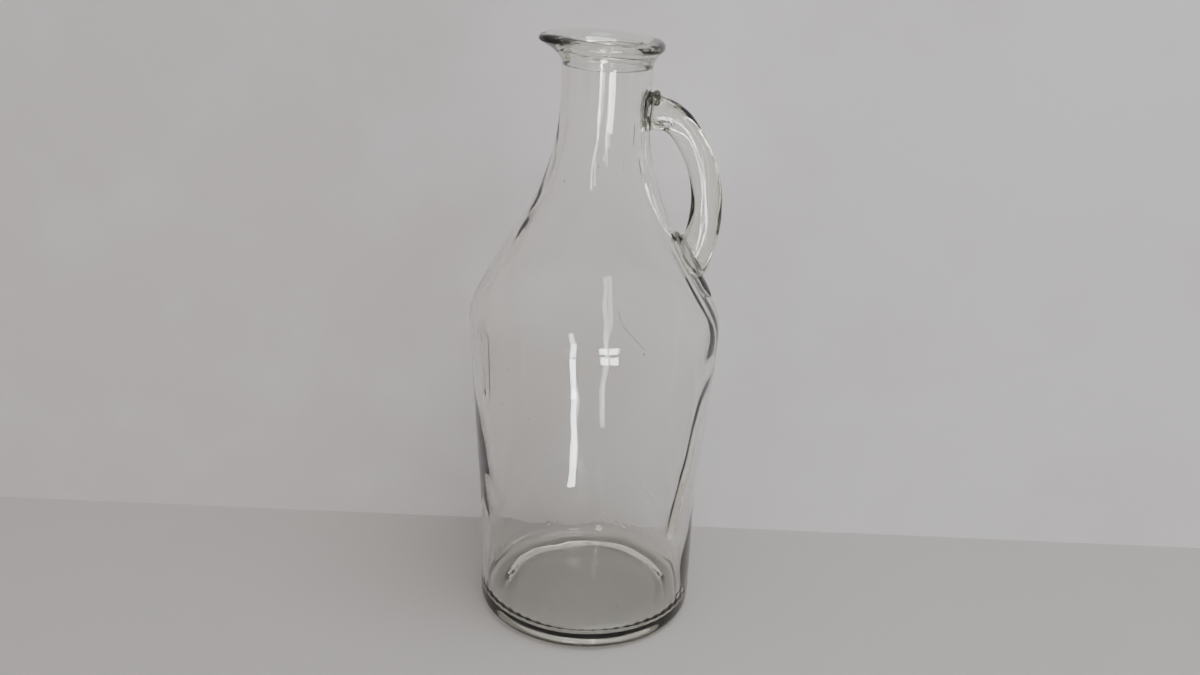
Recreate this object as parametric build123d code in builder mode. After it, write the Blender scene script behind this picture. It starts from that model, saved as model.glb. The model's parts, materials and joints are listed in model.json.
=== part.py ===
"""Growler: a free-blown glass jug with an applied pouring lip and an applied loop handle.

Units are millimetres. +Z is up and the origin is the centre of the base's bearing plane. The
handle lies on +X and the pouring spout opposite it, on -X. Every piece is one mass of glass as
it was worked: the pieces meet face to face, and none overlaps its neighbour.
"""

import os
from math import acos, atan2, cos, radians, sin, tan

from build123d import *

# --- bottle: outside ---------------------------------------------------------------------
foot_radius = 56.4            # the near-cylindrical lower wall
flare_height = 56.5           # where the lower wall starts to widen
flare_blend = 400.0           # radius of that gentle bend
shoulder_radius = 63.7        # corner of wall line and shoulder line, before rounding
shoulder_height = 165.6       # height of that corner
shoulder_blend = 27.8         # rounding of the shoulder
shoulder_rise = 72.5          # from that corner up to the corner of shoulder line and neck line
neck_rise = 61.9              # from the neck's corner up to the lip's upper face
neck_blend = 115.0            # long hollow curve from shoulder to neck
heel_blend = 5.5              # rounding between wall and base

# --- bottle: inside ----------------------------------------------------------------------
wall = 3.8                    # wall and shoulder glass
bore_radius = 17.6            # cylindrical bore that takes a cork, stopper or airlock bung
bore_length = 34.0            # length of that bore, down from the lip's upper face
neck_wall = 3.7               # glass round the bore
base_glass = 7.0              # glass of the base
inside_heel_blend = 6.0       # rounding inside, between wall and base
bearing_ring_width = 4.0      # flat ring that the jug stands on
push_up = 8.0                 # height of the hollow under the base
floor_dome_inset = 9.0        # from the bearing ring in to the edge of the floor's inner dome

# --- applied lip -------------------------------------------------------------------------
lip_overhang = 5.0            # band beyond the neck
lip_band = 6.0                # height of the band
lip_flare = 7.0               # height of the flare under the band
lip_flare_edge = 0.7          # blunt lower edge of the flare
lip_tilt = 2.7                # degrees, low on the handle side
lip_edge_blend = 1.6          # rounding of the band's edges
neck_in_lip = 8.5             # how far the neck's end reaches up inside the lip's ring
spout_overhang = 10.8         # spout tip beyond the neck
spout_nose = 6.5              # radius of the spout's nose
spout_groove_width = 13.0     # width of the pouring groove pinched into the band
spout_groove_depth = 3.6      # depth of that groove below the lip's upper face

# --- handle strap ------------------------------------------------------------------------
strap_width = 14.8            # strap across, seen from the side of the jug
strap_thickness = 11.5        # strap through, along the neck's tangent
root_drop = 32.0              # strap's centre at the neck, below the lip's upper face
bend_out = 16.7               # end of the first bend, out from the neck
bend_drop = 7.8               # and down from the root
foot_up = 27.4                # strap's centre on the shoulder line, above the shoulder corner
crest_out = 4.3               # end of the long back curve, out from the foot
crest_up = 25.0               # and up from it
strap_run_in = 17.0           # strap beyond the shoulder line, trimmed by the shoulder
root_run_in = 6.0             # strap inside the neck's outline, trimmed by the neck

# --- worked ends of the handle -----------------------------------------------------------
pad_thickness = 3.4           # glass of the pads over the bottle's surface
pad_edge_blend = 2.2          # rounding of the pads' edges
upper_pad_width = 31.0        # round the neck
upper_pad_height = 19.5
lower_pad_width = 25.0        # across the shoulder
lower_pad_length = 27.0       # down the shoulder
lower_pad_up = 32.4           # its middle above the shoulder corner
bead_radius = 3.6             # bead rolled over the strap's root
bead_width = 11.0
bead_out = 4.2                # bead's centre out from the neck
bead_sink = 1.4               # bead's centre below the strap's upper edge
tongue_length = 14.0          # tongue folded back under the strap
tongue_depth = 7.0
tongue_width = 9.0
tongue_sink = 2.0             # how far the tongue's middle lies below the strap's lower edge
tongue_blend = 2.4
tail_width = 12.0             # tail drawn down the shoulder
tail_length = 20.0
tail_thickness = 2.2
tail_blend = 1.3
tail_up = 20.0                # its middle above the shoulder corner

# --- places that follow from those sizes -------------------------------------------------
neck_radius = bore_radius + neck_wall
neck_corner_height = shoulder_height + shoulder_rise
overall_height = neck_corner_height + neck_rise
neck_top = overall_height - lip_band - lip_flare + neck_in_lip
lip_radius = neck_radius + lip_overhang
ring_outer = foot_radius - heel_blend
ring_inner = ring_outer - bearing_ring_width
shoulder_lean = atan2(shoulder_radius - neck_radius, shoulder_rise)
root_height = overall_height - root_drop

wall_corners = [
    (foot_radius, 0.0),
    (foot_radius, flare_height),
    (shoulder_radius, shoulder_height),
    (neck_radius, neck_corner_height),
    (neck_radius, neck_top),
]


def shoulder_point(up):
    """Point of the shoulder line at a height above the shoulder corner."""
    return (shoulder_radius - up * tan(shoulder_lean), shoulder_height + up)


def inset(corners, distance):
    """Corners of the open line that runs at a distance to the left of another."""
    points = [Vector(*corner) for corner in corners]
    ways = [(end - start).normalized() for start, end in zip(points, points[1:])]
    moved = []
    for index, point in enumerate(points):
        before = ways[max(index - 1, 0)]
        after = ways[min(index, len(ways) - 1)]
        side = Vector(-before.Y - after.Y, before.X + after.X).normalized()
        moved.append(point + side * (distance / side.dot(Vector(-before.Y, before.X))))
    return [(point.X, point.Y) for point in moved]


def bottle_solid(skin):
    """The bottle's outside as a solid with no cavity, grown by a skin of glass."""
    corners = inset(wall_corners, -skin)
    corners[-1] = (corners[-1][0], overall_height)
    blends = [heel_blend + skin, flare_blend - skin, shoulder_blend + skin, neck_blend - skin, 0]
    with BuildPart() as solid:
        with BuildSketch(Plane.XZ):
            with BuildLine():
                FilletPolyline((0, 0), *corners, (0, overall_height), radius=blends)
                Line((0, overall_height), (0, 0))
            make_face()
        revolve(axis=Axis.Z)
    return solid.part


def shoulder_plane(up):
    """Plane on the shoulder line on the handle's side, facing out, with X down the slope."""
    (reach, height) = shoulder_point(up)
    return Plane(
        origin=(reach, 0, height),
        x_dir=(sin(shoulder_lean), 0, -cos(shoulder_lean)),
        z_dir=(cos(shoulder_lean), 0, sin(shoulder_lean)),
    )


# === bottle body =========================================================================
# inside corners: the neck's inner line stands at the bore radius, on the inner shoulder line
inside = inset(wall_corners, wall)
neck_in_height = inside[3][1] - (bore_radius - inside[3][0]) / tan(shoulder_lean)
bore_foot = overall_height - bore_length
neck_blend_inside = min(neck_blend + wall, (bore_foot - neck_in_height) / tan(shoulder_lean / 2))
dome_edge = ring_inner - floor_dome_inset

with BuildPart() as bottle_body:
    with BuildSketch(Plane.XZ):
        with BuildLine():
            TangentArc((0, push_up), (ring_inner, 0), tangent=(1, 0))
            FilletPolyline(
                (ring_inner, 0),
                *wall_corners,
                (bore_radius, neck_top),
                radius=[heel_blend, flare_blend, shoulder_blend, neck_blend, 0],
            )
            FilletPolyline(
                (bore_radius, neck_top),
                (bore_radius, neck_in_height),
                inside[2],
                inside[1],
                (foot_radius - wall, base_glass),
                (dome_edge, base_glass),
                radius=[
                    neck_blend_inside,
                    shoulder_blend - wall,
                    flare_blend + wall,
                    inside_heel_blend,
                ],
            )
            TangentArc((0, push_up + base_glass), (dome_edge, base_glass), tangent=(1, 0))
            Line((0, push_up + base_glass), (0, push_up))
        make_face()
    revolve(axis=Axis.Z)
bottle_body.part.label = "bottle_body"

bottle_blank = bottle_solid(0)

# === applied lip =========================================================================
lip_plane = Plane(
    origin=(0, 0, overall_height),
    x_dir=(cos(radians(lip_tilt)), 0, -sin(radians(lip_tilt))),
    z_dir=(sin(radians(lip_tilt)), 0, cos(radians(lip_tilt))),
)
nose_centre = neck_radius + spout_overhang - spout_nose
flank = acos((lip_radius - spout_nose) / nose_centre)
ring_point = (-lip_radius * cos(flank), lip_radius * sin(flank))
nose_point = (-nose_centre - spout_nose * cos(flank), spout_nose * sin(flank))
groove_radius = (spout_groove_width**2 / 4 + spout_groove_depth**2) / (2 * spout_groove_depth)

with BuildPart() as applied_lip:
    # the band: a circle drawn out to the rounded nose of the spout
    with BuildSketch(lip_plane):
        with BuildLine():
            ThreePointArc((ring_point[0], -ring_point[1]), (lip_radius, 0), ring_point)
            Line(ring_point, nose_point)
            ThreePointArc(
                nose_point,
                (-nose_centre - spout_nose, 0),
                (nose_point[0], -nose_point[1]),
            )
            Line((nose_point[0], -nose_point[1]), (ring_point[0], -ring_point[1]))
        make_face()
    extrude(amount=-lip_band)
    band_faces = applied_lip.faces().sort_by(Axis.Z)
    fillet(band_faces[-1].edges() + band_faces[0].edges(), lip_edge_blend)
    # the flare that the band grows out of
    with BuildSketch(lip_plane.offset(-lip_band - lip_flare)):
        Circle(neck_radius + lip_flare_edge)
    with BuildSketch(lip_plane.offset(-lip_band + lip_edge_blend)):
        Circle(lip_radius)
    loft()
    # the neck's end stands inside the ring, and the bore goes on through it
    with BuildSketch():
        Circle(neck_radius)
    extrude(amount=neck_top, mode=Mode.SUBTRACT)
    with BuildSketch(Plane.XY.offset(neck_top)):
        Circle(bore_radius)
    extrude(amount=neck_in_lip + lip_band + lip_flare, mode=Mode.SUBTRACT)
    # the pouring groove
    with BuildSketch(Plane.YZ):
        with Locations((0, overall_height + groove_radius - spout_groove_depth)):
            Circle(groove_radius)
    extrude(amount=-2 * nose_centre, mode=Mode.SUBTRACT)
applied_lip.part.label = "applied_lip"

# === handle's pads =======================================================================
pad_skin = bottle_solid(pad_thickness)

with BuildPart() as handle_upper_pad:
    with BuildSketch(Plane.YZ):
        with Locations((0, root_height)):
            Ellipse(upper_pad_width / 2, upper_pad_height / 2)
    extrude(amount=neck_radius + 2 * pad_thickness)
    add(pad_skin, mode=Mode.INTERSECT)
    add(bottle_blank, mode=Mode.SUBTRACT)
    fillet(handle_upper_pad.faces().sort_by(Axis.X)[-1].edges(), pad_edge_blend)
handle_upper_pad.part.label = "handle_upper_pad"

lower_pad_plane = shoulder_plane(lower_pad_up)
with BuildPart() as handle_lower_pad:
    with BuildSketch(lower_pad_plane):
        Ellipse(lower_pad_length / 2, lower_pad_width / 2)
    extrude(amount=3 * pad_thickness, both=True)
    add(pad_skin, mode=Mode.INTERSECT)
    add(bottle_blank, mode=Mode.SUBTRACT)
    outward = Axis(lower_pad_plane.origin, lower_pad_plane.z_dir)
    fillet(handle_lower_pad.faces().sort_by(outward)[-1].edges(), pad_edge_blend)
handle_lower_pad.part.label = "handle_lower_pad"

# === handle strap ========================================================================
foot = shoulder_point(foot_up)
with BuildPart() as handle_strap:
    with BuildLine(Plane.XZ) as strap_line:
        into_neck = Line((neck_radius - root_run_in, root_height), (neck_radius, root_height))
        bend = TangentArc(
            into_neck @ 1,
            (neck_radius + bend_out, root_height - bend_drop),
            tangent=into_neck % 1,
        )
        back = TangentArc(bend @ 1, (foot[0] + crest_out, foot[1] + crest_up), tangent=bend % 1)
        fall = TangentArc(back @ 1, foot, tangent=back % 1)
        PolarLine(fall @ 1, strap_run_in, direction=fall % 1)
    with BuildSketch(Plane(origin=into_neck @ 0, x_dir=(0, 1, 0), z_dir=(1, 0, 0))):
        Ellipse(strap_thickness / 2, strap_width / 2)
    sweep(path=strap_line.line)
    add(bottle_blank, mode=Mode.SUBTRACT)
    add(handle_upper_pad.part, mode=Mode.SUBTRACT)
    add(handle_lower_pad.part, mode=Mode.SUBTRACT)
handle_strap.part.label = "handle_strap"

# === handle's bead, tongue and tail ======================================================
bead_height = root_height + strap_width / 2 - bead_sink
with BuildPart() as handle_bead:
    with BuildSketch(Plane.XZ):
        with Locations((neck_radius + bead_out, bead_height)):
            Circle(bead_radius)
    extrude(amount=bead_width / 2, both=True)
    fillet(handle_bead.edges().filter_by(GeomType.CIRCLE), bead_radius * 0.9)
    add(bottle_blank, mode=Mode.SUBTRACT)
    add(handle_upper_pad.part, mode=Mode.SUBTRACT)
    add(handle_strap.part, mode=Mode.SUBTRACT)
handle_bead.part.label = "handle_bead"

tongue_height = root_height - strap_width / 2 - tongue_sink + tongue_depth / 4
with BuildPart() as handle_tongue:
    with BuildSketch(Plane.XZ):
        with Locations((neck_radius + tongue_length / 2, tongue_height)):
            SlotOverall(tongue_length, tongue_depth)
    extrude(amount=tongue_width / 2, both=True)
    ends = handle_tongue.faces().sort_by(Axis.Y)
    fillet(ends[0].edges() + ends[-1].edges(), tongue_blend)
    add(bottle_blank, mode=Mode.SUBTRACT)
    add(handle_upper_pad.part, mode=Mode.SUBTRACT)
    add(handle_strap.part, mode=Mode.SUBTRACT)
handle_tongue.part.label = "handle_tongue"

tail_plane = shoulder_plane(tail_up)
tail_skin = bottle_solid(tail_thickness)
with BuildPart() as handle_tail:
    with BuildSketch(tail_plane):
        Ellipse(tail_length / 2, tail_width / 2)
    extrude(amount=3 * pad_thickness, both=True)
    add(tail_skin, mode=Mode.INTERSECT)
    add(bottle_blank, mode=Mode.SUBTRACT)
    outward = Axis(tail_plane.origin, tail_plane.z_dir)
    fillet(handle_tail.faces().sort_by(outward)[-1].edges(), tail_blend)
    add(handle_lower_pad.part, mode=Mode.SUBTRACT)
    add(handle_strap.part, mode=Mode.SUBTRACT)
handle_tail.part.label = "handle_tail"

# === files ===============================================================================
os.makedirs("parts", exist_ok=True)
for piece in (
    bottle_body,
    applied_lip,
    handle_strap,
    handle_upper_pad,
    handle_bead,
    handle_tongue,
    handle_lower_pad,
    handle_tail,
):
    export_step(piece.part, f"parts/{piece.part.label}.step")
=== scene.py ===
"""Looks for the growler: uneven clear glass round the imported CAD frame. Metres, +Z up."""

import json
import math

import bmesh
import bpy
import numpy as np
from mathutils import Matrix, Vector
from mathutils.bvhtree import BVHTree


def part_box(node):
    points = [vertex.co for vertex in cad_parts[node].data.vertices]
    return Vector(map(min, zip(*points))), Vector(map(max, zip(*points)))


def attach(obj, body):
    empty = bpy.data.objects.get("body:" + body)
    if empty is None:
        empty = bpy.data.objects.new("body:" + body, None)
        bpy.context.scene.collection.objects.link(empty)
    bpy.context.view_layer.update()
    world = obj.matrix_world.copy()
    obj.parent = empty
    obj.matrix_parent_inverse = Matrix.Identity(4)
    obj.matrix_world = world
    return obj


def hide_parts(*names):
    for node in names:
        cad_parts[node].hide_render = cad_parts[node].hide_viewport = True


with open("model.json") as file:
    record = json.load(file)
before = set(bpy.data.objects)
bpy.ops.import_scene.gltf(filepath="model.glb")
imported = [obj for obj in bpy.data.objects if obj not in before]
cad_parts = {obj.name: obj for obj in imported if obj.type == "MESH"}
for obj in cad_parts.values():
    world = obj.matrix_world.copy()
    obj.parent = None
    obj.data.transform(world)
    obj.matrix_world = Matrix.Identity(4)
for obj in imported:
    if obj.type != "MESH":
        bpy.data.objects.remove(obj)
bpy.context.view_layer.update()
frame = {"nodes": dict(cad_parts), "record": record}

MM = 0.001
FAR = 0.2            # where rays towards the body start, well outside it
bore_mount = next(m for m in frame["record"]["mounts"] if m["name"] == "mouth_bore")

# --- places that come from the frame -----------------------------------------------------
body_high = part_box("bottle_body")[1]
lip_low, lip_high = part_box("applied_lip")
strap_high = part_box("handle_strap")[1]
bore_radius = bore_mount["dims"]["r_mm"] * MM
neck_top = body_high.z
cad_body = frame["nodes"]["bottle_body"]
body_tree = BVHTree.FromObject(cad_body, bpy.context.evaluated_depsgraph_get())
neck_radius = body_tree.ray_cast(Vector((FAR, 0, neck_top - 4 * MM)), Vector((-1, 0, 0)))[0].x


# === helpers =============================================================================
def new_object(name, points, faces):
    """A smooth-shaded mesh object."""
    mesh = bpy.data.meshes.new(name)
    mesh.from_pydata([tuple(p) for p in points], [], [tuple(f) for f in faces])
    mesh.update()
    mesh.shade_smooth()
    thing = bpy.data.objects.new(name, mesh)
    bpy.context.scene.collection.objects.link(thing)
    return thing


def grid_faces(rows, columns, closed_rows=False):
    """Quads of a grid of points whose columns run all the way round."""
    faces = []
    for row in range(rows if closed_rows else rows - 1):
        here = row * columns
        above = ((row + 1) % rows) * columns
        for column in range(columns):
            beside = (column + 1) % columns
            faces.append((here + column, here + beside, above + beside, above + column))
    return faces


def tube_faces(rows, columns):
    """Faces of a tube of rings, closed by fans to two points that follow the rings' own."""
    faces = grid_faces(rows, columns)
    first = rows * columns
    for column in range(columns):
        beside = (column + 1) % columns
        faces.append((first, beside, column))
        faces.append((first + 1, first - columns + column, first - columns + beside))
    return faces


def blurred(points, reach, lengthen):
    """Points blurred along their length, once lengthen has added some at both ends."""
    size = int(3 * reach)
    kernel = np.exp(-0.5 * (np.arange(-size, size + 1) / reach) ** 2)
    kernel /= kernel.sum()
    long = lengthen(points, size)
    return np.column_stack([np.convolve(c, kernel, mode="valid") for c in long.T])


def mirrored_ends(points, size):
    """Points with some more at both ends, turned about them, so that a blur keeps the ends."""
    before = 2 * points[0] - points[size:0:-1]
    after = 2 * points[-1] - points[-2:-size - 2:-1]
    return np.vstack([before, points, after])


def joined_ends(points, size):
    """Points of a closed outline with some repeated at both ends."""
    return np.vstack([points[-size:], points, points[:size]])


def even(path, step):
    """Points of a path spaced evenly, about a step apart."""
    path = np.asarray(path, float)
    runs = np.r_[0, np.cumsum(np.linalg.norm(np.diff(path, axis=0), axis=1))]
    places = np.linspace(0, runs[-1], max(int(runs[-1] / step), 2) + 1)
    return np.column_stack([np.interp(places, runs, c) for c in path.T])


def directions(line):
    """Unit directions along a line of points."""
    way = np.gradient(line, axis=0)
    return way / np.linalg.norm(way, axis=1)[:, None]


def turned_from(angle, centre):
    """How far angles lie from a centre, the short way round, all in radians."""
    return (angle - centre + math.pi) % (2 * math.pi) - math.pi


def middle_of(box):
    """Middle of a box given as (low, high)."""
    return (box[0] + box[1]) / 2


class Waves:
    """Smooth unevenness of the glass, in metres, over angle and height.

    Each layer is (fewest and most turns round, shortest and longest wave up in mm, size in mm,
    how many waves), with the first two as pairs.
    """

    def __init__(self, seed, layers):
        draw = np.random.RandomState(seed)
        self.terms = []
        for turns, length, size, count in layers:
            for _ in range(count):
                self.terms.append((
                    draw.randint(turns[0], turns[1] + 1),
                    2 * math.pi / (draw.uniform(*length) * MM) * draw.choice([-1, 1]),
                    draw.uniform(0, 2 * math.pi),
                    size * MM * draw.uniform(0.6, 1.0) / math.sqrt(count),
                ))

    def __call__(self, angle, height):
        total = np.zeros(np.broadcast(angle, height).shape)
        for turns, wave, phase, size in self.terms:
            total = total + size * np.cos(turns * angle + wave * height + phase)
        return total


def bump_at(angle, height, where, reach):
    """A smooth hill of height 1 at (angle in degrees, height) that fades over a reach."""
    across = turned_from(angle, math.radians(where[0])) / math.radians(reach[0])
    along = (height - where[1]) / reach[1]
    return np.exp(-0.5 * (across**2 + along**2))


# === shape of the body ===================================================================
ROUND = 448          # points round the body
STEP = 1.4 * MM      # spacing of the rings up the body
HEEL = 8 * MM        # rays fan out round the heel from this far inside it
FLOOR_EYE = 26 * MM  # rays to the hollow's floor start at this height
RIM_GAP = 1.5 * MM   # the walls' sections stop this far under the neck's end


def cad_hit(start, way):
    """Where a ray meets the CAD body, as (radius, height)."""
    place = body_tree.ray_cast(Vector(start), Vector(way))[0]
    return (math.hypot(place.x, place.y), place.z)


def outside_section():
    """Outside of the CAD body from the middle of its underside up to the neck's end."""
    foot = body_tree.ray_cast(Vector((FAR, 0, 20 * MM)), Vector((-1, 0, 0)))[0].x
    points = [cad_hit((r, 0, -FAR / 2), (0, 0, 1)) for r in np.linspace(0, foot - HEEL, 40)]
    for turn in np.radians(np.linspace(84, 0, 21)):
        out = Vector((math.cos(turn), 0, -math.sin(turn)))
        points.append(cad_hit(Vector((foot - HEEL, 0, HEEL)) + out * 0.05, -out))
    for height in np.arange(HEEL + STEP, neck_top - RIM_GAP, STEP):
        points.append(cad_hit((FAR, 0, height), (-1, 0, 0)))
    return points


def inside_section():
    """Inside of the CAD body from the neck's end down to the middle of its floor."""
    wall = body_tree.ray_cast(Vector((0, 0, FLOOR_EYE)), Vector((1, 0, 0)))[0].x
    corner = wall - 1.5 * HEEL
    heights = np.arange(neck_top - RIM_GAP, FLOOR_EYE, -STEP)
    points = [cad_hit((0, 0, height), (1, 0, 0)) for height in heights]
    for turn in np.radians(np.linspace(0, 84, 43)):
        out = Vector((math.cos(turn), 0, -math.sin(turn)))
        points.append(cad_hit((corner, 0, FLOOR_EYE), out))
    points += [cad_hit((r, 0, FLOOR_EYE), (0, 0, -1)) for r in np.linspace(corner, 0, 40)]
    return points


def lean(height):
    """How far the uneven body wanders off its axis along X at a height."""
    shoulder_in = -1.7 * MM * np.exp(-0.5 * ((height - 200 * MM) / (20 * MM)) ** 2)
    neck_out = 0.9 * MM / (1 + np.exp(-(height - 262 * MM) / (7 * MM)))
    foot_out = 0.6 * MM * np.exp(-0.5 * ((height - 22 * MM) / (22 * MM)) ** 2)
    return shoulder_in + neck_out + foot_out


outer_waves = Waves(11, [
    ((1, 4), (110, 240), 0.20, 5),
    ((3, 9), (35, 80), 0.045, 7),
    ((8, 20), (14, 40), 0.008, 10),
])
inner_waves = Waves(23, [
    ((1, 5), (80, 200), 0.30, 6),
    ((4, 12), (30, 80), 0.055, 8),
    ((10, 26), (12, 40), 0.008, 10),
])
# short waves that both faces of the wall follow, so they bend reflections more than the view
shared_waves = Waves(31, [
    ((5, 14), (18, 50), 0.045, 12),
    ((18, 36), (16, 50), 0.010, 12),
])


def section_to_surface(section, waves, extra=None, facing=1):
    """Turns a section of (radius, height) round the axis, with its waves along its normal.

    facing is 1 where that normal points away from the axis and -1 where it points to it.
    """
    angle = np.linspace(0, 2 * math.pi, ROUND, endpoint=False)[None, :]
    radius, height = section[:, :1], section[:, 1:]
    way = directions(section)
    fade = np.clip(radius / (30 * MM), 0, 1) ** 2
    still = np.clip((neck_top - height) / (25 * MM), 0.05, 1)
    wall_share = np.clip((height - 20 * MM) / (30 * MM), 0, 1)
    move = waves(angle, height) + facing * shared_waves(angle, height) * wall_share
    move = move * fade * still
    if extra is not None:
        move = move + extra(angle, height)
    r = radius + move * way[:, 1:]
    z = height - move * way[:, :1]
    x = r * np.cos(angle) + lean(z)
    y = r * np.sin(angle)
    return np.stack([x, y, z], axis=-1)


def ridge(angle, height, start, end, reach):
    """A smooth ridge of height 1 along a line from start to end, each (degrees, metres)."""
    scale = body_high.x
    here = np.stack(np.broadcast_arrays(
        turned_from(angle, math.radians(start[0])) * scale,
        height - start[1],
    ), axis=-1)
    line = np.array([math.radians(end[0] - start[0]) * scale, end[1] - start[1]])
    share = np.clip(here @ line / (line @ line), 0, 1)
    off = here - share[..., None] * line
    return np.exp(-0.5 * (off**2).sum(axis=-1) / reach**2)


# thick places and creases on the inside of the wall, each a ridge: its start and its end as
# (degrees, mm up), its reach and its height in mm
INNER_RIDGES = [
    ((207, 156), (205, 130), 4.6, 1.5),
    ((343, 124), (327, 58), 6.5, 1.2),
    ((352, 206), (350, 152), 3.0, 0.14),
    ((339, 202), (343, 158), 2.2, 0.10),
    ((318, 261), (317, 253), 0.8, 0.22),
    ((299, 252), (300, 240), 0.8, 0.22),
    ((326, 245), (327, 238), 0.8, 0.22),
    ((264, 251.5), (302, 251.5), 1.3, 0.12),
]


def inner_marks(angle, height):
    """Thick places and creases on the inside of the wall."""
    total = np.zeros(np.broadcast(angle, height).shape)
    for start, end, reach, rise in INNER_RIDGES:
        start, end = (start[0], start[1] * MM), (end[0], end[1] * MM)
        total = total + rise * ridge(angle, height, start, end, reach * MM)
    return total * MM


PIPS = 60            # pips in the ring moulded round the heel
PIP_HEIGHT = 13 * MM
PIP_SIZE = (1.05 * MM, 1.0 * MM)


def outer_marks(angle, height):
    """A shallow dent at the waist, and the plain pips moulded in a ring round the heel."""
    waist = bump_at(angle, height, (205, 0.128), (16, 0.03))
    off = (angle * PIPS / (2 * math.pi) + 0.5) % 1 - 0.5
    across = off * 2 * math.pi / PIPS * body_high.x / PIP_SIZE[0]
    along = (height - PIP_HEIGHT) / PIP_SIZE[1]
    pips = np.exp(-0.5 * (across**2 + along**2))
    return (-0.25 * waist + 0.30 * pips) * MM


def tidy_section(points):
    """A sampled section made even, its facets blurred away and its heel kept tight."""
    fine = even(points, 0.4 * MM)
    wall_share = np.clip((fine[:, 1:] - 15 * MM) / (12 * MM), 0, 1)
    wall = blurred(fine, 7, mirrored_ends)
    heel = blurred(fine, 2.2, mirrored_ends)
    return even(wall * wall_share + heel * (1 - wall_share), STEP)


def with_extra_rings(section, height, reach):
    """A section with two more points in each gap that lies near a height of its wall."""
    out = []
    for here, after in zip(section, section[1:]):
        out.append(here)
        if abs(here[1] - height) < reach and here[0] > 45 * MM:
            out += [here + (after - here) / 3, here + (after - here) * 2 / 3]
    return np.array(out + [section[-1]])


def closed_lathe(name, rows):
    """A closed mesh from rings of points whose first and last rings are poles."""
    rings = rows.shape[0]
    body = new_object(name, rows.reshape(-1, 3), grid_faces(rings, rows.shape[1]))
    work = bmesh.new()
    work.from_mesh(body.data)
    bmesh.ops.remove_doubles(work, verts=work.verts, dist=0.001 * MM)
    work.to_mesh(body.data)
    work.free()
    body.data.shade_smooth()
    return body


def make_body():
    """Outside and inside of the bottle as one closed mesh, and the section of its outside."""
    outside = with_extra_rings(tidy_section(outside_section()), PIP_HEIGHT, 5 * MM)
    inside = tidy_section(inside_section())
    outside[0, 0] = 0
    inside[-1, 0] = 0
    crown = np.array([
        (neck_radius - 0.25 * MM, neck_top - 0.75 * MM),
        (neck_radius - 0.9 * MM, neck_top - 0.3 * MM),
        (bore_radius + 0.9 * MM, neck_top - 0.3 * MM),
        (bore_radius + 0.25 * MM, neck_top - 0.75 * MM),
    ])
    top = section_to_surface(crown, outer_waves)
    outer = section_to_surface(outside, outer_waves, outer_marks)
    inner = section_to_surface(inside, inner_waves, inner_marks, facing=-1)
    rows = np.concatenate([outer, top, inner])
    rows[0] = rows[0].mean(axis=0)
    rows[-1] = rows[-1].mean(axis=0)
    rows[..., 2] = np.maximum(rows[..., 2], 0)
    return closed_lathe("bottle_glass", rows), outside


def join_seeds(body, seeds):
    """Adds closed bubbles, facing into themselves, to the glass of a piece."""
    work = bmesh.new()
    work.from_mesh(body.data)
    for place, size, stretch in seeds:
        made = bmesh.ops.create_icosphere(work, subdivisions=2, radius=size)
        bmesh.ops.scale(work, vec=(1, 1, stretch), verts=made["verts"])
        bmesh.ops.translate(work, vec=place, verts=made["verts"])
        faces = {face for vert in made["verts"] for face in vert.link_faces}
        bmesh.ops.reverse_faces(work, faces=list(faces))
        for face in faces:
            face.smooth = True
    work.to_mesh(body.data)
    work.free()


def join_thread(body, places, size):
    """Adds one long thin bubble, facing into itself, that follows a line of places."""
    ring = 8
    line = curve_through(places, 10)
    way = directions(line)
    side = np.cross(way, (0.0, 0.0, 1.0))
    side /= np.linalg.norm(side, axis=1)[:, None]
    up = np.cross(side, way)
    share = np.linspace(-1, 1, len(line))[:, None, None]
    radius = size * np.sqrt(np.maximum(1 - share**6, 0.01))
    turn = np.linspace(0, 2 * math.pi, ring, endpoint=False)[None, :, None]
    rows = line[:, None] + radius * (side[:, None] * np.cos(turn) + up[:, None] * np.sin(turn))
    points = np.vstack([rows.reshape(-1, 3), line[:1], line[-1:]])
    thread = new_object("thread", points, tube_faces(len(rows), ring))
    made = bmesh.new()
    made.from_mesh(thread.data)
    bmesh.ops.recalc_face_normals(made, faces=made.faces)
    bmesh.ops.reverse_faces(made, faces=made.faces)
    made.to_mesh(thread.data)
    made.free()
    work = bmesh.new()
    work.from_mesh(body.data)
    work.from_mesh(thread.data)
    work.to_mesh(body.data)
    work.free()
    bpy.data.objects.remove(thread)


def in_wall(angle, height, share=0.5):
    """A place inside the wall, a share of the way from its inside to its outside."""
    way = Vector((math.cos(math.radians(angle)), math.sin(math.radians(angle)), 0))
    near = body_tree.ray_cast(Vector((0, 0, height)), way)[0]
    far = body_tree.ray_cast(Vector((0, 0, height)) + way * FAR, -way)[0]
    return near + (far - near) * share + Vector((lean(height), 0, 0))


def seeds_in_wall(count):
    """Places of seeds midway through the wall, with a size and a stretch for each."""
    draw = np.random.RandomState(5)
    seeds = []
    while len(seeds) < count:
        angle = draw.uniform(0, 360)
        height = draw.uniform(20, 285) * MM
        middle = in_wall(angle, height)
        seeds.append((middle, draw.uniform(0.16, 0.42) * MM, draw.uniform(1.0, 2.4)))
    return seeds


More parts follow.
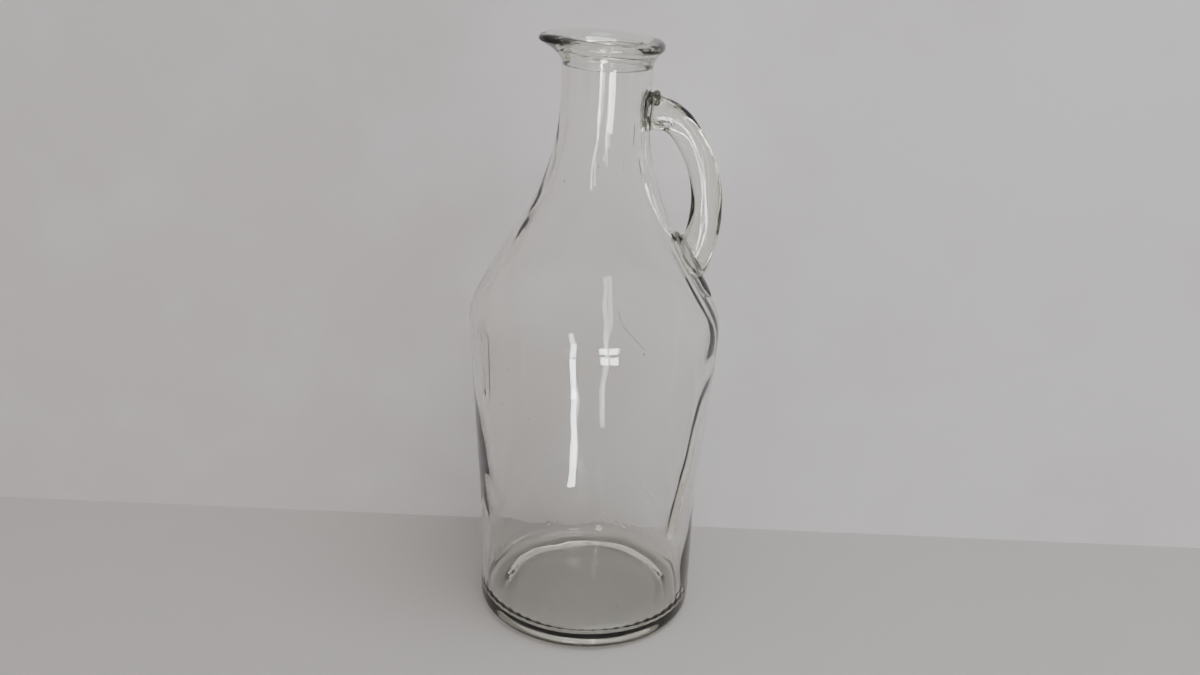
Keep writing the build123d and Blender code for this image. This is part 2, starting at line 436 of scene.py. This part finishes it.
# === lip =================================================================================
def lip_section():
    """Closed section of the lip's ring, as (radius, height under the lip's face)."""
    edge = lip_high.y
    foot = -13.2 * MM
    step = neck_top - bore_top - 1.3 * MM
    return np.array([
        (neck_radius - 1.0 * MM, foot + 0.6 * MM),
        (neck_radius - 0.3 * MM, foot),
        (neck_radius + 0.15 * MM, foot + 2.0 * MM),
        (neck_radius + 0.9 * MM, -9.0 * MM),
        (neck_radius + 1.9 * MM, -7.0 * MM),
        (edge - 1.7 * MM, -5.3 * MM),
        (edge - 0.1 * MM, -3.9 * MM),
        (edge + 0.1 * MM, -2.4 * MM),
        (edge - 0.4 * MM, -0.9 * MM),
        (edge - 1.8 * MM, -0.1 * MM),
        (bore_radius + 3.6 * MM, 0),
        (bore_radius + 1.5 * MM, -0.7 * MM),
        (bore_radius + 0.3 * MM, -2.4 * MM),
        (bore_radius - 0.12 * MM, -4.2 * MM),
        (bore_radius - 0.12 * MM, step + 0.5 * MM),
        (bore_radius + 0.2 * MM, step),
        (bore_radius + 1.4 * MM, step),
        (neck_radius - 1.0 * MM, step - 0.4 * MM),
    ])


def round_trip(points, step, reach):
    """A closed outline made even and blurred, without ends."""
    shut = even(np.vstack([points, points[:1]]), step / 4)[:-1]
    return blurred(shut, reach, joined_ends)[::4]


lip_waves = Waves(7, [
    ((1, 3), (60, 90), 0.30, 4),
    ((4, 9), (20, 60), 0.10, 5),
    ((10, 24), (10, 30), 0.03, 6),
])
bore_top = (lip_low.z + lip_high.z) / 2 + 6.3 * MM
LIP_ROUND = 256      # points round the lip
LIP_TILT = math.tan(math.radians(2.7))  # the lip stands higher at its spout
SPOUT_DIP = 2.2 * MM


def make_lip():
    """The ring laid round the neck's end, drawn out to a pinched spout on -X."""
    section = round_trip(lip_section(), 0.45 * MM, 2.2)
    angle = np.linspace(0, 2 * math.pi, LIP_ROUND, endpoint=False)[None, :]
    radius, depth = section[:, :1], section[:, 1:]
    off = turned_from(angle, math.pi)
    spout = np.exp(-np.abs(off / math.radians(27)) ** 2.5)
    pinch = np.exp(-((np.abs(off) - math.radians(46)) / math.radians(13)) ** 2)
    outward = np.clip((radius - bore_radius) / (lip_high.y - bore_radius), 0, 1)
    upper = np.clip((depth + 7 * MM) / (6 * MM), 0, 1)
    drawn = np.clip((depth + 12.5 * MM) / (7.2 * MM), 0, 1)
    spout_reach = -lip_low.x - lip_high.y + lean(neck_top) - 0.3 * MM
    way = directions(section)
    free = np.clip(np.maximum(outward * 3 - 0.6, upper), 0, 1)
    move = lip_waves(angle, depth) * free
    r = radius + move * way[:, 1:]
    r = r + outward * drawn * (spout_reach * spout - 0.35 * MM * pinch)
    z = depth - move * way[:, :1]
    groove = np.exp(-(off / math.radians(13)) ** 2) * upper * (1 - 0.8 * outward)
    z = z - SPOUT_DIP * groove
    x = r * np.cos(angle)
    y = r * np.sin(angle)
    height = bore_top + z - LIP_TILT * x * np.clip((z + 13 * MM) / (8 * MM), 0, 1)
    rows = np.stack([x + lean(height), y, height], axis=-1)
    faces = grid_faces(rows.shape[0], LIP_ROUND, closed_rows=True)
    return new_object("lip_glass", rows.reshape(-1, 3), faces)


# === handle ==============================================================================
# the strap's middle line: out from the neck and down from the strap's top, then its width and
# thickness, all in millimetres
STRAP = [
    (-1.6, 9.4, 18.0, 12.5),
    (3.0, 9.6, 16.6, 11.4),
    (10.0, 11.4, 14.8, 10.6),
    (16.6, 16.2, 14.2, 10.6),
    (22.6, 25.0, 14.2, 10.8),
    (27.0, 34.4, 14.5, 11.0),
    (29.7, 44.6, 15.0, 11.2),
    (30.8, 55.0, 15.6, 11.4),
    (30.3, 65.2, 16.4, 11.8),
    (28.0, 75.0, 17.0, 12.4),
    (25.2, 84.0, 16.0, 12.6),
    (23.0, 93.0, 13.0, 11.6),
]
STRAP_ROUND = 48     # points round the strap


def curve_through(points, count):
    """Points of a smooth curve through a list of points (Catmull-Rom)."""
    points = np.asarray(points, float)
    points = np.vstack([2 * points[0] - points[1], points, 2 * points[-1] - points[-2]])
    out = []
    for a, b, c, d in zip(points, points[1:], points[2:], points[3:]):
        for t in np.linspace(0, 1, count, endpoint=False):
            out.append(0.5 * (
                2 * b + (c - a) * t + (2 * a - 5 * b + 4 * c - d) * t**2
                + (3 * b - a - 3 * c + d) * t**3
            ))
    return np.array(out + [points[-2]])


def make_strap():
    """The drawn strap: flattened, with a soft ridge along each face, closed at both ends."""
    line = curve_through(STRAP, 8) * MM
    middle = np.column_stack([neck_radius + line[:, 0], strap_high.z - line[:, 1]])
    way = directions(middle)
    turn = np.linspace(0, 2 * math.pi, STRAP_ROUND, endpoint=False)
    along = np.linspace(0, 1, len(line))[:, None]
    side = np.sign(np.cos(turn)) * np.abs(np.cos(turn)) ** 1.35
    face = np.sign(np.sin(turn)) * np.abs(np.sin(turn)) ** 0.95
    wander = 0.22 * MM * np.sin(2 * math.pi * 2.3 * along + 3 * turn[None, :])
    out = side[None, :] * (line[:, 2:3] / 2 + wander)
    across = face[None, :] * (line[:, 3:4] / 2 + wander)
    sway = 0.5 * MM * np.sin(math.pi * 1.4 * along + 0.4)
    x = middle[:, :1] + out * -way[:, 1:]
    z = middle[:, 1:] + out * way[:, :1]
    rows = np.stack([x + lean(z) * (1 - along), across + sway, z], axis=-1)
    ends = np.stack([rows[0].mean(axis=0), rows[-1].mean(axis=0)])
    points = np.vstack([rows.reshape(-1, 3), ends])
    return new_object("strap", points, tube_faces(len(rows), STRAP_ROUND))


SHOULDER_TURN = math.radians(30.4)  # the shoulder faces this far up where the strap lands
PAD_SINK = 1.6 * MM  # pads reach this deep into the wall
lower_middle = middle_of(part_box("handle_lower_pad"))


def make_pad(name, tree, middle, out, half, thick, sink, power=2.4, seed=1):
    """A patch of glass pressed on a surface: an oval dome over it, sunk a little into it.

    middle is a point near the surface and out the way it faces. half holds the oval's half
    sizes across (along Y) and along the slope.
    """
    out = Vector(out).normalized()
    across = Vector((0, 1, 0))
    along = out.cross(across).normalized()
    rings, ring = 14, 56
    draw = np.random.RandomState(seed)
    phases = draw.uniform(0, 2 * math.pi, 4)
    top, low = [], []
    for row in range(rings + 1):
        share = row / rings
        for column in range(ring):
            turn = 2 * math.pi * column / ring
            uneven = 1 + 0.05 * math.cos(2 * turn + phases[0])
            sharper = 0.035 * math.cos(3 * turn + phases[1])
            uneven += sharper + 0.02 * math.cos(5 * turn + phases[2])
            spot = Vector(middle) + across * (half[0] * share * math.cos(turn) * uneven)
            spot += along * (half[1] * share * math.sin(turn) * uneven)
            place, normal = tree.ray_cast(spot + out * 0.03, -out)[:2]
            rise = thick * max(1 - share**power, 0) ** (1 / power)
            top.append(place + normal * rise)
            low.append(place - normal * sink)
    points = top + low[::-1]
    faces = grid_faces(2 * (rings + 1), ring)
    pad = new_object(name, [tuple(p) for p in points], faces)
    work = bmesh.new()
    work.from_mesh(pad.data)
    bmesh.ops.remove_doubles(work, verts=work.verts, dist=0.01 * MM)
    bmesh.ops.recalc_face_normals(work, faces=work.faces)
    work.to_mesh(pad.data)
    work.free()
    return pad


def apply_modifiers(thing):
    """Bakes a piece's modifiers into its mesh."""
    seen = thing.evaluated_get(bpy.context.evaluated_depsgraph_get())
    mesh = bpy.data.meshes.new_from_object(seen)
    thing.modifiers.clear()
    old = thing.data
    thing.data = mesh
    bpy.data.meshes.remove(old)
    thing.data.shade_smooth()


def melt_together(name, things, voxel, rounds):
    """One closed skin round several overlapping pieces, its creases softened."""
    work = bmesh.new()
    for thing in things:
        work.from_mesh(thing.data)
        bpy.data.objects.remove(thing)
    mesh = bpy.data.meshes.new(name)
    work.to_mesh(mesh)
    work.free()
    one = bpy.data.objects.new(name, mesh)
    bpy.context.scene.collection.objects.link(one)
    skin = one.modifiers.new("skin", "REMESH")
    skin.mode = "VOXEL"
    skin.voxel_size = voxel
    soft = one.modifiers.new("soft", "SMOOTH")
    soft.factor = 0.5
    soft.iterations = rounds
    apply_modifiers(one)
    return one


def trim(piece, core):
    """Cuts away what lies inside a closed core."""
    cut = piece.modifiers.new("cut", "BOOLEAN")
    cut.operation = "DIFFERENCE"
    cut.solver = "EXACT"
    cut.object = core
    apply_modifiers(piece)


def make_core(outside, sink):
    """The bottle's outside drawn in by a little, as a closed solid."""
    section = outside[::3].copy()
    section[0, 0] = 0
    rows = section_to_surface(section, outer_waves, lambda a, h: outer_marks(a, h) - sink)
    lid = rows[-1:].mean(axis=1, keepdims=True).repeat(rows.shape[1], axis=1)
    rows = np.concatenate([rows, lid])
    rows[0] = rows[0].mean(axis=0)
    return closed_lathe("core", rows)


def make_handle(body_tree_now, core):
    """The strap with its pads and its tail, melted into one piece of glass."""
    slope = Vector((math.cos(SHOULDER_TURN), 0, math.sin(SHOULDER_TURN)))
    upper = make_pad(
        "upper", body_tree_now, (neck_radius, 0, strap_high.z - 8.5 * MM), (1, 0, 0.02),
        (9.5 * MM, 9.6 * MM), 1.5 * MM, PAD_SINK, power=1.6, seed=3,
    )
    lower = make_pad(
        "lower", body_tree_now, lower_middle, slope,
        (11.6 * MM, 12.8 * MM), 3.0 * MM, PAD_SINK, power=1.9, seed=8,
    )
    tail = make_pad(
        "tail", body_tree_now, middle_of(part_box("handle_tail")), slope,
        (5.8 * MM, 10.0 * MM), 1.7 * MM, PAD_SINK, power=1.6, seed=9,
    )
    handle = melt_together("handle_glass", [make_strap(), upper, lower, tail], 0.6 * MM, 12)
    trim(handle, core)
    return handle


def make_lump(name, middle, sizes, seed, tilt=0.0):
    """A small uneven lump of glass, closed, flattened as it was pressed."""
    work = bmesh.new()
    bmesh.ops.create_icosphere(work, subdivisions=4, radius=1)
    draw = np.random.RandomState(seed)
    ways = draw.normal(size=(7, 3))
    phases = draw.uniform(0, 2 * math.pi, 7)
    turn = Matrix.Rotation(tilt, 3, "Y")
    for vert in work.verts:
        uneven = 1 + sum(
            0.035 * math.sin(2.1 * Vector(way).dot(vert.co) + phase)
            for way, phase in zip(ways, phases)
        )
        place = Vector([c * s * uneven for c, s in zip(vert.co, sizes)])
        vert.co = Vector(middle) + turn @ place
    mesh = bpy.data.meshes.new(name)
    work.to_mesh(mesh)
    work.free()
    mesh.shade_smooth()
    lump = bpy.data.objects.new(name, mesh)
    bpy.context.scene.collection.objects.link(lump)
    return lump


# === materials ===========================================================================
class Nodes:
    """Short ways to write a node material."""

    def __init__(self, name):
        self.material = bpy.data.materials.new(name)
        self.material.use_nodes = True
        self.tree = self.material.node_tree
        self.tree.nodes.clear()
        self.place = self.add("ShaderNodeTexCoord").outputs["Object"]

    def add(self, kind, **values):
        node = self.tree.nodes.new(kind)
        for key, value in values.items():
            setattr(node, key, value)
        return node

    def link(self, source, target):
        self.tree.links.new(source, target)

    def noise(self, scale, detail=2.0, stretch=(1, 1, 1), distortion=0.0):
        mapping = self.add("ShaderNodeMapping")
        mapping.inputs["Scale"].default_value = stretch
        self.link(self.place, mapping.inputs["Vector"])
        noise = self.add("ShaderNodeTexNoise")
        noise.inputs["Scale"].default_value = scale
        noise.inputs["Detail"].default_value = detail
        noise.inputs["Distortion"].default_value = distortion
        self.link(mapping.outputs["Vector"], noise.inputs["Vector"])
        return noise.outputs["Fac"]

    def ramp(self, source, low, high, start, end):
        ramp = self.add("ShaderNodeMapRange")
        ramp.inputs["From Min"].default_value = low
        ramp.inputs["From Max"].default_value = high
        ramp.inputs["To Min"].default_value = start
        ramp.inputs["To Max"].default_value = end
        self.link(source, ramp.inputs["Value"])
        return ramp.outputs["Result"]

    def total(self, first, second):
        node = self.add("ShaderNodeMath", operation="ADD")
        self.link(first, node.inputs[0])
        self.link(second, node.inputs[1])
        return node.outputs["Value"]


def glass_material(name, tint, density, ripple, smudge):
    """Clear glass, tinted by its depth, rippled, with worn and smudged places.

    ripple is the depth of the ripples in metres and smudge the roughness of its worst smudges.
    """
    n = Nodes(name)
    shader = n.add("ShaderNodeBsdfPrincipled")
    shader.inputs["Base Color"].default_value = (1, 1, 1, 1)
    shader.inputs["Transmission Weight"].default_value = 1.0
    shader.inputs["IOR"].default_value = 1.517
    haze = n.ramp(n.noise(38.0, 4.0), 0.48, 0.8, 0.0, smudge)
    scuffs = n.ramp(n.noise(900.0, 2.0, (1, 1, 0.12)), 0.66, 0.78, 0.0, smudge * 1.5)
    n.link(n.total(haze, scuffs), shader.inputs["Roughness"])
    bump = n.add("ShaderNodeBump")
    bump.inputs["Strength"].default_value = 1.0
    bump.inputs["Distance"].default_value = ripple
    waves = n.noise(60.0, 1.5, (1, 1, 0.45), 0.3)
    n.link(waves, bump.inputs["Height"])
    n.link(bump.outputs["Normal"], shader.inputs["Normal"])
    depth = n.add("ShaderNodeVolumeAbsorption")
    depth.inputs["Color"].default_value = (*tint, 1)
    depth.inputs["Density"].default_value = density
    out = n.add("ShaderNodeOutputMaterial")
    n.link(shader.outputs["BSDF"], out.inputs["Surface"])
    n.link(depth.outputs["Volume"], out.inputs["Volume"])
    return n.material


def plain_material(name, colour, left_shade_colour, grain, one_sided=False):
    """Pale matt paint with a faint grain, and painted shade to the left: a darker colour there
    stands in for less light reaching it.

    One-sided paint can't be seen from behind.
    """
    n = Nodes(name)
    shader = n.add("ShaderNodeBsdfPrincipled")
    shader.inputs["Roughness"].default_value = 0.75
    shader.inputs["Specular IOR Level"].default_value = 0.1
    mix = n.add("ShaderNodeMixRGB")
    mix.inputs["Color1"].default_value = (*[c * (1 - grain) for c in colour], 1)
    mix.inputs["Color2"].default_value = (*colour, 1)
    n.link(n.noise(9.0, 5.0), mix.inputs["Fac"])
    parts = n.add("ShaderNodeSeparateXYZ")
    n.link(n.place, parts.inputs["Vector"])
    # painted shade: towards -X the paint turns to its darker left colour, as if less light fell
    # there; the wall's left colour is pinker as well
    left_shade_mix = n.add("ShaderNodeMixRGB")
    left_shade_mix.inputs["Color1"].default_value = (*left_shade_colour, 1)
    share = n.ramp(parts.outputs["X"], -0.14, 0.10, 0.0, 1.0)
    patches = n.ramp(n.noise(14.0, 3.0), 0.35, 0.65, -0.25, 0.25)
    n.link(n.total(share, patches), left_shade_mix.inputs["Fac"])
    n.link(mix.outputs["Color"], left_shade_mix.inputs["Color2"])
    n.link(left_shade_mix.outputs["Color"], shader.inputs["Base Color"])
    out = n.add("ShaderNodeOutputMaterial")
    if one_sided:
        behind = n.add("ShaderNodeNewGeometry").outputs["Backfacing"]
        clear = n.add("ShaderNodeBsdfTransparent")
        choose = n.add("ShaderNodeMixShader")
        n.link(behind, choose.inputs["Fac"])
        n.link(shader.outputs["BSDF"], choose.inputs[1])
        n.link(clear.outputs["BSDF"], choose.inputs[2])
        n.link(choose.outputs["Shader"], out.inputs["Surface"])
    else:
        n.link(shader.outputs["BSDF"], out.inputs["Surface"])
    return n.material


# === pieces ==============================================================================
body_glass = glass_material("body_glass", (0.900, 0.892, 0.795), 40.0, 0.04 * MM, 0.03)
lip_glass = glass_material("lip_glass", (0.820, 0.848, 0.765), 100.0, 0.04 * MM, 0.04)
handle_glass = glass_material("handle_glass", (0.880, 0.887, 0.800), 75.0, 0.05 * MM, 0.04)
# painted shade: the bead's glass is tinted far darker and denser than the handle glass it goes
# with, so that the lump looks dark
bead_glass = glass_material("bead_glass", (0.62, 0.65, 0.58), 420.0, 0.05 * MM, 0.06)

# an airline in the wall, as (degrees, mm up)
AIRLINE = [(283, 184), (284.5, 177.5), (289, 172), (293, 167)]
# the tongue's lumps, each with its place from the tongue's middle and its half sizes in mm,
# its seed and its tilt
FINGERS = [
    ("finger_front", (0.4, -4.2, 2.2), (5.6, 1.5, 1.3), 6, 0.16),
    ("finger_low", (-0.6, -2.6, -0.6), (4.9, 1.7, 1.4), 7, 0.10),
    ("finger_tip", (5.2, -4.6, 1.4), (1.2, 1.3, 1.2), 8, 0.0),
    ("finger_back", (-0.4, 2.6, 0.2), (5.0, 2.6, 1.8), 9, 0.10),
    ("finger_bed", (-2.0, 0, 1.2), (4.4, 4.4, 2.0), 10, 0.12),
]
# out of and up along the shoulder where the lower pad's specks lie
SPECK_OUT = Vector((0.86, 0, 0.52))
SPECK_UP = Vector((-0.52, 0, 0.86))

body, outside = make_body()
join_seeds(body, seeds_in_wall(26))
airline = [in_wall(angle, height * MM, 0.8) for angle, height in AIRLINE]
join_thread(body, airline, 0.24 * MM)
body_now = BVHTree.FromObject(body, bpy.context.evaluated_depsgraph_get())
core = make_core(outside, 1.0 * MM)
lip = make_lip()
handle = make_handle(body_now, core)
bead_middle = middle_of(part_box("handle_bead")) - Vector((2.4, 0, 2.2)) * MM
bead = make_lump("bead_glass", bead_middle, (2.6 * MM, 3.9 * MM, 3.9 * MM), 4)
tongue_middle = middle_of(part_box("handle_tongue"))
fingers = [
    make_lump(name, tongue_middle + Vector(off) * MM, [size * MM for size in sizes], seed, tilt)
    for name, off, sizes, seed, tilt in FINGERS
]
tongue = melt_together("tongue_glass", fingers, 0.35 * MM, 3)
trim(tongue, core)
trim(bead, core)
join_seeds(bead, [
    (bead_middle + Vector((0.5, -1.6, -1.4)) * MM, 0.6 * MM, 1.4),
    (bead_middle + Vector((0.6, 1.2, 0.4)) * MM, 0.5 * MM, 1.2),
])
join_seeds(tongue, [
    (tongue_middle + Vector((5.2, -4.6, 1.4)) * MM, 0.55 * MM, 1.1),
    (tongue_middle + Vector((2.6, -2.9, -0.8)) * MM, 0.50 * MM, 1.1),
])
specks = []
speck_draw = np.random.RandomState(17)
for _ in range(9):
    along = speck_draw.uniform(-8, 6) * MM
    off = SPECK_UP * along + Vector((0, speck_draw.uniform(-5, 1.5) * MM, 0))
    lift = SPECK_OUT * (speck_draw.uniform(1.0, 2.6) * MM)
    specks.append((lower_middle + off + lift, speck_draw.uniform(0.2, 0.42) * MM, 2.2))
join_seeds(handle, specks)
bpy.data.objects.remove(core)

for piece, material, slot, stood_for in (
    (body, body_glass, "body_glass", ["bottle_body"]),
    (lip, lip_glass, "lip_glass", ["applied_lip"]),
    (handle, handle_glass, "handle_glass", [
        "handle_strap", "handle_upper_pad", "handle_lower_pad", "handle_tail",
    ]),
    (bead, bead_glass, "handle_glass", ["handle_bead"]),
    (tongue, handle_glass, "handle_glass", ["handle_tongue"]),
):
    piece.data.materials.clear()
    piece.data.materials.append(material)
    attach(piece, "root")
    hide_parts(*stood_for)


# === stage ===============================================================================
def panel(name, corners, material):
    """A flat panel."""
    thing = new_object(name, corners, [tuple(range(len(corners)))])
    thing.data.materials.append(material)
    return thing


WALL_Y = 0.0745      # the wall stands just behind the jug
FLOOR_Z = -0.2 * MM  # the floor lies just under it
FLOOR_FRONT = -0.9
SIDE = 2             # the floor and the wall reach this far left, right, back and up
# both paints carry painted shade: darker to the left, and the wall's left colour is also pinker
floor_paint = plain_material("floor_paint", (0.51, 0.49, 0.47), (0.49, 0.468, 0.45), 0.04)
wall_paint = plain_material(
    "wall_paint", (0.94, 0.915, 0.93), (0.80, 0.742, 0.740), 0.03, one_sided=True
)
panel("floor", [
    (-SIDE, FLOOR_FRONT, FLOOR_Z), (SIDE, FLOOR_FRONT, FLOOR_Z),
    (SIDE, SIDE, FLOOR_Z), (-SIDE, SIDE, FLOOR_Z),
], floor_paint)
panel("backdrop", [
    (-SIDE, WALL_Y, FLOOR_Z), (SIDE, WALL_Y, FLOOR_Z),
    (SIDE, WALL_Y, SIDE), (-SIDE, WALL_Y, SIDE),
], wall_paint)


def area_light(name, place, target, size, power):
    """A soft rectangular light that the camera doesn't see."""
    data = bpy.data.lights.new(name, "AREA")
    data.shape = "RECTANGLE"
    data.size, data.size_y = size
    data.energy = power
    light = bpy.data.objects.new(name, data)
    light.location = place
    way = Vector(target) - Vector(place)
    light.rotation_euler = way.to_track_quat("-Z", "Y").to_euler()
    light.visible_camera = False
    bpy.context.scene.collection.objects.link(light)
    return light


def gloss_light(name, place, target, size, power):
    """An area light kept out of diffuse lighting, so that it shows mainly in the glass."""
    light = area_light(name, place, target, size, power)
    light.visible_diffuse = False
    return light


WINDOW_Y = -0.28
LEFT_PANE = 0.021    # widths of the panes
RIGHT_PANE = 0.031
RIGHT_BRIGHT = 34
area_light("overhead", (0.45, -0.45, 1.6), (0.05, 0, 0.1), (1.2, 0.9), 12)
for part, x, z, tall, roll, bright in (
    ("low", -0.072, 0.075, 0.14, 0, 42),
    ("middle", -0.072, 0.205, 0.11, 0, 32),
    ("high", -0.083, 0.295, 0.075, 18.6, 16),
):
    light = gloss_light(
        f"left_window_{part}", (x, WINDOW_Y, z), (-0.008, -0.06, 0.16), (LEFT_PANE, tall),
        bright * LEFT_PANE * tall * math.pi,
    )
    light.rotation_euler.rotate_axis("Z", math.radians(roll))
for column, x in (("near", 0.050), ("far", 0.089)):
    for row, z, tall in (("low", 0.145, 0.060), ("high", 0.222, 0.048)):
        gloss_light(
            f"right_window_{column}_{row}", (x, WINDOW_Y, z), (0.01, -0.06, 0.16),
            (RIGHT_PANE, tall), RIGHT_BRIGHT * RIGHT_PANE * tall * math.pi,
        )
sill = gloss_light(
    "sill_light", (-0.058, -0.235, 0.002), (-0.058, -0.235, 1), (LEFT_PANE, 0.105), 0.28
)
sill.rotation_euler = (math.pi, 0, math.radians(-12))

world = bpy.data.worlds.new("studio")
bpy.context.scene.world = world
world.use_nodes = True
sky = world.node_tree
sky.nodes["Background"].inputs["Strength"].default_value = 1.0
way = sky.nodes.new("ShaderNodeTexCoord")
parts = sky.nodes.new("ShaderNodeSeparateXYZ")
sky.links.new(way.outputs["Generated"], parts.inputs["Vector"])
rise = sky.nodes.new("ShaderNodeValToRGB")
rise.color_ramp.elements[0].position = 0.0
rise.color_ramp.elements[0].color = (0.52, 0.52, 0.53, 1)
rise.color_ramp.elements[1].position = 0.8
rise.color_ramp.elements[1].color = (0.82, 0.82, 0.84, 1)
sky.links.new(parts.outputs["Z"], rise.inputs["Fac"])
sky.links.new(rise.outputs["Color"], sky.nodes["Background"].inputs["Color"])

# === camera ==============================================================================
eye = Vector((0, -0.5804, 0.3792))
pitch, yaw, roll = (math.radians(a) for a in (21.54, 0.3, 2.6))
forward = Vector((
    math.sin(yaw) * math.cos(pitch),
    math.cos(yaw) * math.cos(pitch),
    -math.sin(pitch),
))
right = forward.cross(Vector((0, 0, 1))).normalized()
up = right.cross(forward)
right, up = (
    right * math.cos(roll) + up * math.sin(roll),
    up * math.cos(roll) - right * math.sin(roll),
)
camera_data = bpy.data.cameras.new("camera")
camera_data.sensor_width = 36
camera_data.lens = 36.88
camera_data.clip_start = 0.01
camera = bpy.data.objects.new("camera", camera_data)
turn = Matrix((right, up, -forward)).transposed().to_4x4()
camera.matrix_world = Matrix.Translation(eye) @ turn
bpy.context.scene.collection.objects.link(camera)
bpy.context.scene.camera = camera
